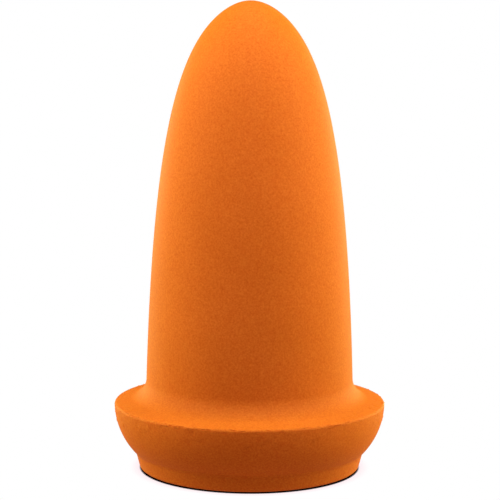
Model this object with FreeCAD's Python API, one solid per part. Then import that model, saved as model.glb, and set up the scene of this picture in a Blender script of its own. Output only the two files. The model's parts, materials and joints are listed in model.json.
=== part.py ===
import FreeCAD, Part
import math
import os

# Dust blower bulb: a hollow silicone bulb that stands on its foot ring, with an air valve in its mouth.
# Millimetres and degrees. The origin is the centre of the foot ring's face. +Z is the axis, to the dome.

# Bulb, outside
bulb_height = 118.0
body_radius = 26.35          # where the dome meets the collar
side_lean = 2.15             # the dome's side leans in by this much at the height of its first pull point
side_pull = 0.815            # pull points of the dome's curve, as shares of its height and radius
shoulder_pull = 0.893
shoulder_reach = 0.607
nose_reach = 0.304
root_fillet = 5.0            # dome to collar
collar_reach = 8.0           # how far the collar stands out from the dome
collar_height = 16.81        # its upper edge, above the foot
collar_slope = 12.5          # its top face climbs towards the dome
collar_fillet = 0.9
bowl_undercut = 5.35         # the bowl under the collar draws in by this much
groove_height = 4.1          # where the bowl meets the foot
foot_draft = 1.1             # the foot narrows by this much on its way down
foot_fillet = 0.7

# Bulb, inside and underside
wall = 3.0
cavity_steps = 6             # places where the cavity's curve is measured off from the dome's
cavity_fillet = 3.0
floor_thickness = 4.0
foot_ring = 4.2              # width of the ring that it stands on
foot_recess = 2.0            # depth of the underside within that ring

# Nozzle socket
socket_bore = 3.0
socket_depth = 10.0
socket_lead = 0.4            # chamfer at its mouth
socket_wall = 1.1
socket_rim = 1.9             # its rim stands out from the barrel by this much
socket_rim_thickness = 0.8
socket_edge = 0.2            # rounding of its rim's outer edge
socket_shoulder = 1.4        # thickness of the shoulder that stops the nozzle
air_hole = 2.0               # radius through that shoulder

# Valve plug
plug_recess = 0.5            # its underside, above the foot ring's face
plug_rim = 3.6               # its rim overlaps the bulb's floor by this much
plug_wall = 1.6
plug_edge = 0.5              # rounding of its rim's lower edge
barb_reach = 1.8
barb_height = 2.6
barb_draft = 2.1
hub_wall = 1.2               # round the socket's rim
boss_wall = 1.6              # round the socket's barrel
boss_end = 1.4
deck_thickness = 2.0
port_count = 8
port_radius = 1.15
port_margin = 0.35           # from a port to the seat lip beside it
rib_width = 1.2
rib_recess = 0.8
seat_width = 0.6
seat_height = 0.4

# Valve disc and its stop
disc_thickness = 0.8
disc_gap = 0.2               # round the boss
disc_overlap = 0.5           # beyond the outer seat lip
disc_lift = 1.2
stop_seat = 0.6              # width of the boss's shoulder under the stop
stop_thickness = 0.6
stop_ring = 2.4
stop_arms = 3
stop_arm_width = 2.8
stop_inset = 1.3             # the arms end this far inside the disc's edge
bead_reach = 0.25            # the boss's snap bead, above the stop
bead_height = 0.9

# Radii that follow, from the axis out
cavity_radius = body_radius - wall
collar_radius = body_radius + collar_reach
groove_radius = collar_radius - bowl_undercut
foot_radius = groove_radius - foot_draft
recess_radius = foot_radius - foot_ring
socket_radius = socket_bore + socket_wall
socket_rim_radius = socket_radius + socket_rim
boss_radius = socket_radius + boss_wall
neck_radius = boss_radius - stop_seat
well_inner = socket_rim_radius + hub_wall
well_outer = well_inner + 2 * (seat_width + port_margin + port_radius)
port_circle = (well_inner + well_outer) / 2
mouth_radius = well_outer + plug_wall
plug_rim_radius = mouth_radius + plug_rim
barb_radius = mouth_radius + barb_reach
disc_radius = well_outer + disc_overlap
stop_radius = disc_radius - stop_inset

# Heights that follow, from the foot up
root_height = collar_height + collar_reach * math.tan(math.radians(collar_slope))
floor_top = foot_recess + floor_thickness
deck_top = floor_top + barb_height
deck_under = deck_top - deck_thickness
seat_top = deck_top + seat_height
disc_top = seat_top + disc_thickness
stop_under = disc_top + disc_lift
stop_top = stop_under + stop_thickness
bead_top = stop_top + bead_height
socket_wall_start = plug_recess + socket_lead
socket_wall_end = socket_wall_start + socket_depth
socket_top = socket_wall_end + socket_shoulder
boss_top = max(bead_top, socket_top) + boss_end


def point(r, z):
    return FreeCAD.Vector(r, 0, z)


def lines(*points):
    """Straight edges from each (radius, height) point to the next."""
    return [Part.LineSegment(point(*a), point(*b)).toShape() for a, b in zip(points, points[1:])]


def turned(edges):
    """Turn a closed outline of radii and heights about the axis."""
    face = Part.Face(Part.Wire(Part.__sortEdges__(edges)))
    return face.revolve(FreeCAD.Vector(0, 0, 0), FreeCAD.Vector(0, 0, 1), 360)


def rounded(solid, radius, *corners):
    """Fillet the round edges at the given (radius, height) corners."""
    def at_corner(edge):
        if edge.Degenerated or not isinstance(edge.Curve, Part.Circle):
            return False
        place = (edge.Curve.Radius, edge.Curve.Center.z)
        return any(math.dist(place, corner) < 0.001 for corner in corners)
    return solid.makeFillet(radius, [edge for edge in solid.Edges if at_corner(edge)])


def around(shape, count, first=0.0):
    """Copies of a shape, evenly spaced about the axis."""
    axis = FreeCAD.Vector(0, 0, 1)
    turns = [first + 360 * i / count for i in range(count)]
    return [shape.copy().rotate(FreeCAD.Vector(0, 0, 0), axis, turn) for turn in turns]


def tube(inner, outer, low, high):
    return turned(lines((inner, low), (outer, low), (outer, high), (inner, high), (inner, low)))


def dome():
    """The dome's curve, from the collar up to the axis, where it lies flat."""
    height = bulb_height - root_height
    curve = Part.BezierCurve()
    curve.setPoles([
        point(body_radius, root_height),
        point(body_radius - side_lean, root_height + side_pull * height),
        point(body_radius * shoulder_reach, root_height + shoulder_pull * height),
        point(body_radius * nose_reach, bulb_height),
        point(0, bulb_height)])
    return curve


def cavity_dome():
    """The same curve, drawn in by the wall all along."""
    outside = dome()
    steps = [i / cavity_steps for i in range(cavity_steps + 1)]
    tangents = [outside.tangent(step)[0] for step in steps]
    inward = [tangent.cross(FreeCAD.Vector(0, 1, 0)) * wall for tangent in tangents]
    curve = Part.BSplineCurve()
    curve.interpolate(
        Points=[outside.value(step) + offset for step, offset in zip(steps, inward)],
        InitialTangent=tangents[0], FinalTangent=tangents[-1])
    return curve


def bowl():
    """The arc under the collar: upright at the collar's edge, and drawn in to the groove."""
    drop = collar_height - groove_height
    radius = (bowl_undercut ** 2 + drop ** 2) / (2 * bowl_undercut)
    centre = collar_radius - radius
    half = math.asin(drop / radius) / 2
    middle = (centre + radius * math.cos(half), collar_height - radius * math.sin(half))
    ends = (collar_radius, collar_height), (groove_radius, groove_height)
    return Part.Arc(point(*ends[0]), point(*middle), point(*ends[1]))


def bulb():
    cavity_start = cavity_dome().StartPoint
    collar = lines((body_radius, root_height), (collar_radius, collar_height))
    foot = lines(
        (groove_radius, groove_height), (foot_radius, 0), (recess_radius, 0),
        (recess_radius, foot_recess), (mouth_radius, foot_recess), (mouth_radius, floor_top),
        (cavity_radius, floor_top), (cavity_start.x, cavity_start.z))
    crown = lines((0, bulb_height - wall), (0, bulb_height))
    curves = [dome().toShape(), bowl().toShape(), cavity_dome().toShape()]
    solid = turned(curves + collar + foot + crown)
    solid = rounded(solid, root_fillet, (body_radius, root_height))
    solid = rounded(solid, collar_fillet, (collar_radius, collar_height))
    solid = rounded(solid, foot_fillet, (foot_radius, 0), (recess_radius, 0))
    return rounded(solid, cavity_fillet, (cavity_radius, floor_top))


def valve_plug():
    """Rim, neck and barb hold the bulb's mouth; the hub takes the socket, and a well feeds the ports."""
    shell = turned(lines(
        (socket_rim_radius, plug_recess), (plug_rim_radius, plug_recess),
        (plug_rim_radius, foot_recess), (mouth_radius, foot_recess),
        (mouth_radius, floor_top), (barb_radius, floor_top),
        (barb_radius - barb_draft, deck_top), (boss_radius, deck_top),
        (boss_radius, stop_under), (neck_radius, stop_under),
        (neck_radius, stop_top), (neck_radius + bead_reach, stop_top),
        (neck_radius + bead_reach, bead_top), (neck_radius - bead_reach, boss_top),
        (air_hole, boss_top), (air_hole, socket_top),
        (socket_radius, socket_top), (socket_radius, plug_recess + socket_rim_thickness),
        (socket_rim_radius, plug_recess + socket_rim_thickness), (socket_rim_radius, plug_recess)))
    lips = [tube(inner, inner + seat_width, deck_top, seat_top)
            for inner in (well_inner, well_outer - seat_width)]
    well = tube(well_inner, well_outer, plug_recess, deck_under)
    port = Part.makeCylinder(port_radius, deck_thickness, point(port_circle, deck_under))
    rib_low = plug_recess + rib_recess
    rib_length = well_outer - well_inner + plug_wall
    rib = Part.makeBox(
        rib_length, rib_width, deck_under - rib_low,
        FreeCAD.Vector(well_inner - plug_wall / 2, -rib_width / 2, rib_low))
    ribs = around(rib, port_count // 2, 180 / port_count)
    shell = rounded(shell, plug_edge, (plug_rim_radius, plug_recess))
    return shell.cut(well).fuse(ribs + lips).cut(around(port, port_count)).removeSplitter()


def valve_disc():
    return tube(boss_radius + disc_gap, disc_radius, seat_top, disc_top)


def disc_stop():
    """A flat star: a ring on the boss's shoulder, with arms over the disc."""
    ring = tube(neck_radius, neck_radius + stop_ring, stop_under, stop_top)
    start = neck_radius + stop_ring / 2
    end = stop_radius - stop_arm_width / 2
    bar = Part.makeBox(
        end - start, stop_arm_width, stop_thickness,
        FreeCAD.Vector(start, -stop_arm_width / 2, stop_under))
    tip = Part.makeCylinder(stop_arm_width / 2, stop_thickness, point(end, stop_under))
    return ring.fuse(around(bar.fuse(tip), stop_arms)).removeSplitter()


def nozzle_socket():
    """A turned ferrule: rim at the mouth, bore for the nozzle's tail, and a shoulder that stops it."""
    rim_top = plug_recess + socket_rim_thickness
    ferrule = turned(lines(
        (socket_bore + socket_lead, plug_recess), (socket_rim_radius, plug_recess),
        (socket_rim_radius, rim_top), (socket_radius, rim_top),
        (socket_radius, socket_top), (air_hole, socket_top),
        (air_hole, socket_wall_end), (socket_bore, socket_wall_end),
        (socket_bore, socket_wall_start), (socket_bore + socket_lead, plug_recess)))
    return rounded(ferrule, socket_edge, (socket_rim_radius, plug_recess))


os.makedirs("parts", exist_ok=True)
for make in (bulb, valve_plug, valve_disc, disc_stop, nozzle_socket):
    shape = make()
    shape.exportStep(f"parts/{make.__name__}.step")
    print(make.__name__, shape.ShapeType, len(shape.Solids), round(shape.Volume, 1), shape.isValid())
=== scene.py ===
import bpy
import json
import math
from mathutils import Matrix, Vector

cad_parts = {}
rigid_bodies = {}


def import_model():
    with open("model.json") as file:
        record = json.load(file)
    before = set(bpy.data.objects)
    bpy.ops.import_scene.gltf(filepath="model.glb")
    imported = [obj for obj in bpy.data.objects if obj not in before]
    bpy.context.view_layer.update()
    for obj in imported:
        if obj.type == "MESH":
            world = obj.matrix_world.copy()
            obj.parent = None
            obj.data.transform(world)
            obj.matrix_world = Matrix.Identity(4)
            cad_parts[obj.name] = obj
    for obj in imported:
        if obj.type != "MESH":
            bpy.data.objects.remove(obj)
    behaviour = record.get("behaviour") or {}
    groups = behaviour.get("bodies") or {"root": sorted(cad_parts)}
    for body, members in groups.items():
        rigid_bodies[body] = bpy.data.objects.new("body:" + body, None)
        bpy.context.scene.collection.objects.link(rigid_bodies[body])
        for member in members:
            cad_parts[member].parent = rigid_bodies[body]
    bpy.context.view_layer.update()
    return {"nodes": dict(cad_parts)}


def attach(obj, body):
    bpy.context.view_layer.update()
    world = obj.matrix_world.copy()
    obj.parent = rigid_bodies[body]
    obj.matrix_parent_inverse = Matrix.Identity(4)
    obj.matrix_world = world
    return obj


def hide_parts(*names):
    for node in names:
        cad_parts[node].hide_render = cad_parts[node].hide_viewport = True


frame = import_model()
nodes = frame["nodes"]
mm = 0.001
print("frame loaded:", ", ".join(sorted(nodes)))


# Small tools

def toLinear(hexColour):
    shares = [int(hexColour[i:i + 2], 16) / 255 for i in (1, 3, 5)]
    return [s / 12.92 if s <= 0.04045 else ((s + 0.055) / 1.055) ** 2.4 for s in shares] + [1]


def addNode(owner, kind, settings={}, values={}, links={}):
    # the owner is a material or the world
    tree = owner.node_tree
    node = tree.nodes.new(kind)
    for name, value in settings.items():
        setattr(node, name, value)
    for name, value in values.items():
        node.inputs[name].default_value = value
    for name, source in links.items():
        tree.links.new(source, node.inputs[name])
    return node


def emptyMaterial(name):
    material = bpy.data.materials.new(name)
    material.use_nodes = True
    material.node_tree.nodes.clear()
    return material


def setStops(ramp, stops):
    # the ramp starts with two stops, at 0 and 1
    elements = ramp.color_ramp.elements
    while len(elements) < len(stops):
        elements.new(0.5)
    for element, (place, colour) in zip(elements, stops):
        element.position = place
        element.color = toLinear(colour) if isinstance(colour, str) else (colour, colour, colour, 1)


def selectPoints(obj, wanted):
    # edit mode stays on; points are picked by place
    bpy.ops.object.mode_set(mode="OBJECT")
    mesh = obj.data
    for part in (mesh.polygons, mesh.edges):
        part.foreach_set("select", [False] * len(part))
    mesh.vertices.foreach_set("select", [bool(wanted(v.co)) for v in mesh.vertices])
    bpy.ops.object.mode_set(mode="EDIT")
    bpy.ops.mesh.select_mode(type="VERT")


def selectRing(obj, radius, height):
    slack = 0.02 * mm
    selectPoints(obj, lambda co: abs(math.hypot(co.x, co.y) - radius * mm) < slack
                 and abs(co.z - height * mm) < slack)
    bpy.ops.mesh.select_mode(type="EDGE")


# Bulb: one silicone skin, drawn ring by ring from the foot: up outside to the dome's top, and up inside

bulb = {
    # lengths in mm
    "segments": 384,
    "height": 118.0,
    "bodyRadius": 26.35,
    "rootHeight": 18.584,        # where the dome's line meets the collar's slope
    "dome": [(24.2, 99.61), (15.99, 107.36), (8.01, 118.0)],    # pull points of the dome's line
    "domeSteps": 60,
    "collarRadius": 34.35,
    "collarHeight": 16.81,
    "slopeShares": (0.22, 0.28, 0.34, 0.4),    # rings on the collar's slope, clear of its eased corners
    "grooveRadius": 29.0,        # where the bowl meets the foot
    "grooveHeight": 4.1,
    "bowlSteps": 26,
    "footRadius": 27.9,
    "recessRadius": 23.7,
    "recessDepth": 2.0,
    "mouthRadius": 13.0,
    "floorTop": 6.0,
    "wall": 3.0,
    "cavitySteps": 24,
    "rootEase": 4.0,             # widths taken off each corner
    "rimEase": 1.35,
    "footEase": 0.65,
    "grooveEase": 0.8,
    "cavityEase": 2.6,
    "easeSteps": 7,
    "rootSteps": 14,
    "grooveSteps": 3,
    "rootClear": 5.2,            # no dome ring this close above the root, where its ease needs the room
    "seamBand": (12.0, 17.4),    # the trimmed mould seam leaves pits and nubs between these heights
    "seamRadius": 30,            # and outside this radius
    # share of the band's points, push outwards, seed
    "seamMarks": ((0.035, -0.24, 4), (0.02, 0.12, 9)),
    "smoothAngle": 40,           # degrees
}


def curvePoint(points, share):
    while len(points) > 1:
        points = [tuple(a + (b - a) * share for a, b in zip(p, q)) for p, q in zip(points, points[1:])]
    return points[0]


def domePoints(sizes):
    return [(sizes["bodyRadius"], sizes["rootHeight"]), *sizes["dome"], (0, sizes["height"])]


def domeLine(sizes):
    # stations of the dome from the collar to the axis
    points = domePoints(sizes)
    return [curvePoint(points, i / sizes["domeSteps"]) for i in range(sizes["domeSteps"] + 1)]


def cavityLine(sizes):
    # the same line drawn in by the wall
    points = domePoints(sizes)
    nudge = 0.001                # share of the line to either side, for its direction
    stations = []
    for i in range(sizes["cavitySteps"] + 1):
        share = i / sizes["cavitySteps"]
        r, z = curvePoint(points, share)
        before, after = curvePoint(points, max(share - nudge, 0)), curvePoint(points, min(share + nudge, 1))
        along = (after[0] - before[0], after[1] - before[1])
        length = math.hypot(*along)
        stations.append((r - sizes["wall"] * along[1] / length, z + sizes["wall"] * along[0] / length))
    return stations


def bowlLine(sizes):
    # the arc from the groove up to the collar's edge, where it stands upright
    undercut = sizes["collarRadius"] - sizes["grooveRadius"]
    drop = sizes["collarHeight"] - sizes["grooveHeight"]
    radius = (undercut ** 2 + drop ** 2) / (2 * undercut)
    sweep = math.asin(drop / radius)
    angles = [sweep * (1 - i / sizes["bowlSteps"]) for i in range(sizes["bowlSteps"] + 1)]
    return [(sizes["collarRadius"] - radius * (1 - math.cos(a)), sizes["collarHeight"] - radius * math.sin(a))
            for a in angles]


def extrudeRings(obj, start, stations):
    # the ring at start is drawn out to each station in turn, and closed on the axis if it ends there
    selectRing(obj, *start)
    radius, height = start
    onAxis = 0.001               # a ring smaller than this share of the last one is a point
    for nextRadius, nextHeight in stations:
        bpy.ops.mesh.extrude_region_move(TRANSFORM_OT_translate={"value": (0, 0, (nextHeight - height) * mm)})
        share = nextRadius / radius
        if share > onAxis:
            bpy.ops.transform.resize(value=(share, share, 1), center_override=(0, 0, nextHeight * mm))
        else:
            bpy.ops.mesh.merge(type="CENTER")
        radius, height = nextRadius, nextHeight


def easeRing(obj, radius, height, width, steps):
    selectRing(obj, radius, height)
    bpy.ops.mesh.bevel(offset=width * mm, offset_type="OFFSET", segments=steps, affect="EDGES",
                       clamp_overlap=True)


def makeBulb(sizes):
    bpy.ops.object.select_all(action="DESELECT")
    bpy.ops.mesh.primitive_circle_add(vertices=sizes["segments"], radius=sizes["footRadius"] * mm)
    skin = bpy.context.object
    skin.name = "bulb_skin"
    foot = (sizes["footRadius"], 0)
    root = (sizes["bodyRadius"], sizes["rootHeight"])
    edge = (sizes["collarRadius"], sizes["collarHeight"])
    rise = (root[0] - edge[0], root[1] - edge[1])
    slope = [(edge[0] + rise[0] * share, edge[1] + rise[1] * share) for share in sizes["slopeShares"]]
    dome, cavity = domeLine(sizes), cavityLine(sizes)
    clear = [station for station in dome if station[1] > root[1] + sizes["rootClear"]]
    outside = bowlLine(sizes) + slope + [root] + clear
    inside = [
        (sizes["recessRadius"], 0), (sizes["recessRadius"], sizes["recessDepth"]),
        (sizes["mouthRadius"], sizes["recessDepth"]), (sizes["mouthRadius"], sizes["floorTop"]),
        (cavity[0][0], sizes["floorTop"])] + cavity
    extrudeRings(skin, foot, outside)
    extrudeRings(skin, foot, inside)
    bpy.ops.mesh.select_all(action="SELECT")
    bpy.ops.mesh.remove_doubles(threshold=0.001 * mm)
    bpy.ops.mesh.normals_make_consistent(inside=False)
    easeRing(skin, *root, sizes["rootEase"], sizes["rootSteps"])
    easeRing(skin, *edge, sizes["rimEase"], sizes["easeSteps"])
    easeRing(skin, sizes["grooveRadius"], sizes["grooveHeight"], sizes["grooveEase"], sizes["grooveSteps"])
    easeRing(skin, *foot, sizes["footEase"], sizes["easeSteps"])
    easeRing(skin, sizes["recessRadius"], 0, sizes["footEase"], sizes["easeSteps"])
    easeRing(skin, cavity[0][0], sizes["floorTop"], sizes["cavityEase"], sizes["easeSteps"])
    low, high = sizes["seamBand"]
    for share, push, seed in sizes["seamMarks"]:
        selectPoints(skin, lambda co: low * mm < co.z < high * mm
                     and math.hypot(co.x, co.y) > sizes["seamRadius"] * mm)
        bpy.ops.mesh.hide(unselected=True)
        bpy.ops.mesh.select_all(action="DESELECT")
        bpy.ops.mesh.select_random(ratio=share, seed=seed)
        bpy.ops.transform.shrink_fatten(value=push * mm)
        bpy.ops.mesh.reveal(select=False)
    bpy.ops.object.mode_set(mode="OBJECT")
    bpy.ops.object.select_all(action="DESELECT")
    skin.select_set(True)
    bpy.ops.object.shade_smooth_by_angle(angle=math.radians(sizes["smoothAngle"]))
    return skin


bulbSkin = makeBulb(bulb)
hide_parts("bulb")
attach(bulbSkin, "blower")
print("bulb skin:", len(bulbSkin.data.polygons), "faces")


# Materials

def castSilicone():
    # silicone cast in a bead-blasted mould: matte and even, with a fine grain and light that spreads a
    # little way under the surface
    grain, cloud = 0.45 * mm, 22 * mm    # the blasted grain is nearer 0.15 mm; drawn coarser so that it shows
    material = emptyMaterial("castSilicone")
    place = addNode(material, "ShaderNodeTexCoord")
    fine = addNode(material, "ShaderNodeTexNoise", values={"Scale": 1 / grain, "Detail": 3, "Roughness": 0.6},
                   links={"Vector": place.outputs["Object"]})
    broad = addNode(material, "ShaderNodeTexNoise", values={"Scale": 1 / cloud, "Detail": 2},
                    links={"Vector": place.outputs["Object"]})
    pigment = addNode(material, "ShaderNodeValToRGB", links={"Fac": broad.outputs["Fac"]})
    setStops(pigment, [(0.3, "#CA6E1A"), (0.7, "#D0721E")])
    speck = addNode(material, "ShaderNodeValToRGB", links={"Fac": fine.outputs["Fac"]})
    setStops(speck, [(0.3, "#E8C892"), (0.7, "#FFFFFF")])
    colour = addNode(material, "ShaderNodeMix", {"data_type": "RGBA", "blend_type": "MULTIPLY"}, {0: 1.0},
                     {6: pigment.outputs["Color"], 7: speck.outputs["Color"]})
    rough = addNode(material, "ShaderNodeMapRange", values={"To Min": 0.56, "To Max": 0.72},
                    links={"Value": fine.outputs["Fac"]})
    bump = addNode(material, "ShaderNodeBump", values={"Strength": 0.35, "Distance": 0.06 * mm},
                   links={"Height": fine.outputs["Fac"]})
    shader = addNode(material, "ShaderNodeBsdfPrincipled",
                     values={"IOR": 1.41, "Subsurface Weight": 0.12, "Subsurface Radius": (3.0, 1.0, 0.4),
                             "Subsurface Scale": 1 * mm, "Specular IOR Level": 0.06},
                     links={"Base Color": colour.outputs[2], "Roughness": rough.outputs["Result"],
                            "Normal": bump.outputs["Normal"]})
    addNode(material, "ShaderNodeOutputMaterial", links={"Surface": shader.outputs["BSDF"]})
    return material


def mouldedAbs():
    # charcoal ABS from a spark-eroded mould: satin, with a fine pebble that breaks up the highlights
    pebble, flow = 0.4 * mm, 9 * mm    # the eroded pebble is nearer 0.1 mm; drawn coarser so that it shows
    material = emptyMaterial("mouldedAbs")
    place = addNode(material, "ShaderNodeTexCoord")
    fine = addNode(material, "ShaderNodeTexNoise", values={"Scale": 1 / pebble, "Detail": 2},
                   links={"Vector": place.outputs["Object"]})
    broad = addNode(material, "ShaderNodeTexNoise", values={"Scale": 1 / flow, "Detail": 2},
                    links={"Vector": place.outputs["Object"]})
    colour = addNode(material, "ShaderNodeValToRGB", links={"Fac": broad.outputs["Fac"]})
    setStops(colour, [(0.3, "#232326"), (0.7, "#2A2A2D")])
    rough = addNode(material, "ShaderNodeMapRange", values={"To Min": 0.36, "To Max": 0.52},
                    links={"Value": fine.outputs["Fac"]})
    bump = addNode(material, "ShaderNodeBump", values={"Strength": 0.4, "Distance": 0.04 * mm},
                   links={"Height": fine.outputs["Fac"]})
    shader = addNode(material, "ShaderNodeBsdfPrincipled", values={"IOR": 1.54},
                     links={"Base Color": colour.outputs["Color"], "Roughness": rough.outputs["Result"],
                            "Normal": bump.outputs["Normal"]})
    addNode(material, "ShaderNodeOutputMaterial", links={"Surface": shader.outputs["BSDF"]})
    return material


def turnedBrass():
    # brass bar turned on a lathe: fine rings round the axis stretch each highlight across the part
    pitch, stain = 0.3 * mm, 5 * mm    # the tool's marks are nearer 0.08 mm; drawn coarser so that they show
    waveScale = math.pi / 10 / pitch    # a wave texture repeats every pi / 10 over its scale
    material = emptyMaterial("turnedBrass")
    place = addNode(material, "ShaderNodeTexCoord")
    faceMarks = addNode(material, "ShaderNodeTexWave", {"wave_type": "RINGS", "rings_direction": "Z"},
                        {"Scale": waveScale, "Distortion": 0.6, "Detail": 1},
                        {"Vector": place.outputs["Object"]})
    sideMarks = addNode(material, "ShaderNodeTexWave", {"wave_type": "BANDS", "bands_direction": "Z"},
                        {"Scale": waveScale, "Distortion": 0.6, "Detail": 1},
                        {"Vector": place.outputs["Object"]})
    marks = addNode(material, "ShaderNodeMath", {"operation": "ADD"},
                    links={0: faceMarks.outputs["Fac"], 1: sideMarks.outputs["Fac"]})
    cloud = addNode(material, "ShaderNodeTexNoise", values={"Scale": 1 / stain, "Detail": 3},
                    links={"Vector": place.outputs["Object"]})
    colour = addNode(material, "ShaderNodeValToRGB", links={"Fac": cloud.outputs["Fac"]})
    setStops(colour, [(0.3, "#DDBE80"), (0.7, "#E8CD92")])
    rough = addNode(material, "ShaderNodeMapRange", values={"To Min": 0.2, "To Max": 0.34},
                    links={"Value": cloud.outputs["Fac"]})
    bump = addNode(material, "ShaderNodeBump", values={"Strength": 0.3, "Distance": 0.01 * mm},
                   links={"Height": marks.outputs[0]})
    shader = addNode(material, "ShaderNodeBsdfPrincipled", values={"Metallic": 1.0},
                     links={"Base Color": colour.outputs["Color"], "Roughness": rough.outputs["Result"],
                            "Normal": bump.outputs["Normal"]})
    addNode(material, "ShaderNodeOutputMaterial", links={"Surface": shader.outputs["BSDF"]})
    return material


def stampedSteel():
    # stainless strip, brushed in the roll and stamped: straight fine lines one way, soft grey highlights
    line, run = 0.25 * mm, 14 * mm    # the brushing is nearer 0.05 mm; drawn coarser so that it shows
    material = emptyMaterial("stampedSteel")
    place = addNode(material, "ShaderNodeTexCoord")
    stretch = addNode(material, "ShaderNodeMapping", values={"Scale": (line / run, 1, 1)},
                      links={"Vector": place.outputs["Object"]})
    brushed = addNode(material, "ShaderNodeTexNoise",
                      values={"Scale": 1 / line, "Detail": 2, "Roughness": 0.6},
                      links={"Vector": stretch.outputs["Vector"]})
    colour = addNode(material, "ShaderNodeValToRGB", links={"Fac": brushed.outputs["Fac"]})
    setStops(colour, [(0.3, "#C4C4C6"), (0.7, "#D4D4D5")])
    rough = addNode(material, "ShaderNodeMapRange", values={"To Min": 0.26, "To Max": 0.42},
                    links={"Value": brushed.outputs["Fac"]})
    bump = addNode(material, "ShaderNodeBump", values={"Strength": 0.3, "Distance": 0.01 * mm},
                   links={"Height": brushed.outputs["Fac"]})
    shader = addNode(material, "ShaderNodeBsdfPrincipled", values={"Metallic": 1.0},
                     links={"Base Color": colour.outputs["Color"], "Roughness": rough.outputs["Result"],
                            "Normal": bump.outputs["Normal"]})
    addNode(material, "ShaderNodeOutputMaterial", links={"Surface": shader.outputs["BSDF"]})
    return material


def pressedSilicone():
    # undyed silicone sheet pressed between ground plates: milky, a little light passes through, faint cloud
    cloud, tooth = 2.5 * mm, 0.3 * mm    # the plates' tooth is nearer 0.05 mm; drawn coarser so that it shows
    material = emptyMaterial("pressedSilicone")
    place = addNode(material, "ShaderNodeTexCoord")
    broad = addNode(material, "ShaderNodeTexNoise", values={"Scale": 1 / cloud, "Detail": 2},
                    links={"Vector": place.outputs["Object"]})
    fine = addNode(material, "ShaderNodeTexNoise", values={"Scale": 1 / tooth, "Detail": 2},
                   links={"Vector": place.outputs["Object"]})
    colour = addNode(material, "ShaderNodeValToRGB", links={"Fac": broad.outputs["Fac"]})
    setStops(colour, [(0.3, "#DFDBD3"), (0.7, "#EAE7E0")])
    rough = addNode(material, "ShaderNodeMapRange", values={"To Min": 0.38, "To Max": 0.5},
                    links={"Value": fine.outputs["Fac"]})
    bump = addNode(material, "ShaderNodeBump", values={"Strength": 0.25, "Distance": 0.02 * mm},
                   links={"Height": fine.outputs["Fac"]})
    shader = addNode(material, "ShaderNodeBsdfPrincipled",
                     values={"IOR": 1.41, "Subsurface Weight": 0.4, "Subsurface Radius": (1.0, 0.9, 0.8),
                             "Subsurface Scale": 1 * mm},
                     links={"Base Color": colour.outputs["Color"], "Roughness": rough.outputs["Result"],
                            "Normal": bump.outputs["Normal"]})
    addNode(material, "ShaderNodeOutputMaterial", links={"Surface": shader.outputs["BSDF"]})
    return material


bulbSkin.data.materials.append(castSilicone())
finishes = {"valve_plug": mouldedAbs, "nozzle_socket": turnedBrass, "disc_stop": stampedSteel,
            "valve_disc": pressedSilicone}
for name, finish in finishes.items():
    nodes[name].data.materials.clear()
    nodes[name].data.materials.append(finish())
print("materials done")


# Floor, light and camera

studio = {
    # places, sizes and reaches in mm, powers in W
    "lens": 138.24,
    "camera": (0, -480.4, 120.4),
    "aim": (0, 0, 55.46),
    "roll": 0.2,                 # degrees
    "clip": (10, 50000),
    "floorSize": 6000,
    "floorGap": 0.28,            # the table lies this far under the foot; the dark line there is a painted contact shadow on the table
    # painted bounce light: how strongly the table glows onto the bulb
    "tableGlow": 0.68,
    "glowColour": "#FFD2D2",     # painted bounce light: the table glows back some of the bulb's own colour
    "contactReach": 0.8,         # how far the painted contact shadow spreads over the table
    "shadeReach": 5,             # and how far the faint pink shade does
    "panelAim": (0, 0, 60),
    "twinShare": 1.12,           # a twin's power against its panel's
    # panels that aren't on the middle plane have a twin on the right
    "panels": {
        "sidePanel": {"place": (-435, 116, 115), "size": (220, 300), "power": 1.5, "tint": "#FBFFBC"},
        "rearPanel": {"place": (-289, 345, 30), "size": (220, 300), "power": 1.72, "tint": "#F2FFBC"},
        "highPanel": {"place": (-220, -60, 200), "size": (150, 150), "power": 0.56, "tint": "#EAEAFF"},
        "topPanel": {"place": (0, 0, 280), "size": (160, 160), "power": 0.22, "tint": "#EEFFDA"},
        # high, small and just behind the dome's axis: in front, the dome shades all but the collar's edge
        "edgePanel": {"place": (0, 40, 600), "size": (60, 60), "power": 0.66, "tint": "#EEFFDA"},
        # close and low, for the bowl's outer edges
        "lowPanel": {"place": (-120, 60, 10), "size": (60, 14), "power": 0.032, "tint": "#FFFF80"},
        "frontPanel": {"place": (0, -160, 240), "size": (120, 120), "power": 0.42, "tint": "#EAD0FF"},
    },
}


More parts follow.
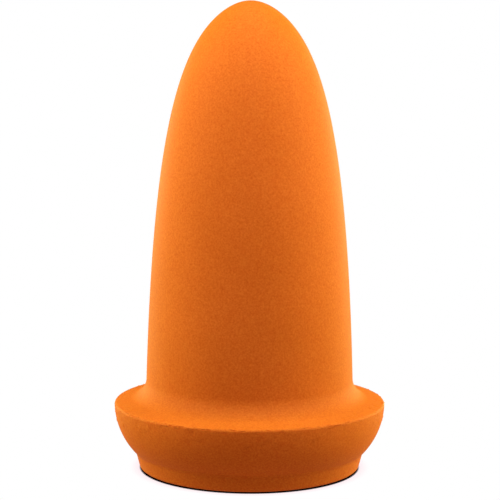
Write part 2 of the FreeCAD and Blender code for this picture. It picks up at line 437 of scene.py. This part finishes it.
def makeFloor(sizes):
    bpy.ops.object.select_all(action="DESELECT")
    bpy.ops.mesh.primitive_plane_add(size=sizes["floorSize"] * mm, location=(0, 0, -sizes["floorGap"] * mm))
    floor = bpy.context.object
    floor.name = "floor"
    # white table drawn as a glow: the camera sees it glow white, with a painted contact shadow and a painted
    # pink shade near the bulb; the bulb gets a dimmer pink glow from it, as painted bounce light; from below
    # it is clear
    material = emptyMaterial("whiteTable")
    # AO mask for the painted contact shadow on the table under the foot
    contact = addNode(material, "ShaderNodeAmbientOcclusion", values={"Distance": sizes["contactReach"] * mm})
    # painted shade on the table: a wider AO mask turns its glow pink near the bulb, as painted shadow and
    # painted bounce light
    shade = addNode(material, "ShaderNodeAmbientOcclusion", values={"Distance": sizes["shadeReach"] * mm})
    tint = addNode(material, "ShaderNodeValToRGB", links={"Fac": shade.outputs["AO"]})
    setStops(tint, [(0.0, "#F0C8CC"), (0.45, "#FFF0F3"), (0.7, "#FFFFFF")])
    # painted contact shadow: the table's glow, as the camera sees it, falls to black where the foot is near
    line = addNode(material, "ShaderNodeValToRGB", links={"Fac": contact.outputs["AO"]})
    setStops(line, [(0.5, 0.0), (0.76, 1.0)])
    ray = addNode(material, "ShaderNodeLightPath")
    # to the camera the table shows the painted pink shade; to all else it glows in glowColour, as painted
    # bounce light
    seen = addNode(material, "ShaderNodeMix", {"data_type": "RGBA"}, {6: toLinear(sizes["glowColour"])},
                   {0: ray.outputs["Is Camera Ray"], 7: tint.outputs["Color"]})
    # to the camera the glow's strength carries the painted contact shadow; to all else it is tableGlow, the
    # painted bounce light
    strength = addNode(material, "ShaderNodeMix", {"data_type": "FLOAT"}, {2: sizes["tableGlow"]},
                       {0: ray.outputs["Is Camera Ray"], 3: line.outputs["Color"]})
    glowWithPaintedShade = addNode(material, "ShaderNodeEmission",
                  links={"Color": seen.outputs[2], "Strength": strength.outputs[0]})
    clear = addNode(material, "ShaderNodeBsdfTransparent")
    side = addNode(material, "ShaderNodeNewGeometry")
    shown = addNode(material, "ShaderNodeMixShader",
                    links={0: side.outputs["Backfacing"], 1: glowWithPaintedShade.outputs[0], 2: clear.outputs[0]})
    addNode(material, "ShaderNodeOutputMaterial", links={"Surface": shown.outputs[0]})
    floor.data.materials.append(material)


def makeSky():
    # white to the camera and dark to all else, so that the panels do the lighting
    world = bpy.data.worlds.new("whiteTent")
    bpy.context.scene.world = world
    world.use_nodes = True
    world.node_tree.nodes.clear()
    ray = addNode(world, "ShaderNodeLightPath")
    tent = addNode(world, "ShaderNodeBackground", values={"Color": (1, 1, 1, 1)},
                   links={"Strength": ray.outputs["Is Camera Ray"]})
    addNode(world, "ShaderNodeOutputWorld", links={"Surface": tent.outputs[0]})


def addPanel(name, panel, target):
    place, aim = Vector(panel["place"]) * mm, Vector(target) * mm
    bpy.ops.object.light_add(type="AREA", location=place)
    lamp = bpy.context.object
    lamp.name = name
    lamp.rotation_euler = (aim - place).to_track_quat("-Z", "Y").to_euler()
    lamp.data.shape = "RECTANGLE"
    lamp.data.size, lamp.data.size_y = [side * mm for side in panel["size"]]
    lamp.data.energy = panel["power"]
    lamp.data.color = toLinear(panel["tint"])[:3]
    lamp.visible_camera = False


def makeCamera(sizes):
    place, aim = Vector(sizes["camera"]) * mm, Vector(sizes["aim"]) * mm
    bpy.ops.object.camera_add(location=place)
    camera = bpy.context.object
    camera.data.lens = sizes["lens"]
    camera.data.clip_start, camera.data.clip_end = [reach * mm for reach in sizes["clip"]]
    camera.rotation_euler = (aim - place).to_track_quat("-Z", "Y").to_euler()
    camera.rotation_euler.rotate_axis("Z", math.radians(sizes["roll"]))
    bpy.context.scene.camera = camera


makeFloor(studio)
makeSky()
for name, panel in studio["panels"].items():
    addPanel(name, panel, studio["panelAim"])
    x, y, z = panel["place"]
    if x:
        twin = {**panel, "place": (-x, y, z), "power": panel["power"] * studio["twinShare"]}
        addPanel(name + "Twin", twin, studio["panelAim"])
makeCamera(studio)
bpy.context.scene.view_settings.view_transform = "Standard"
print("studio done")
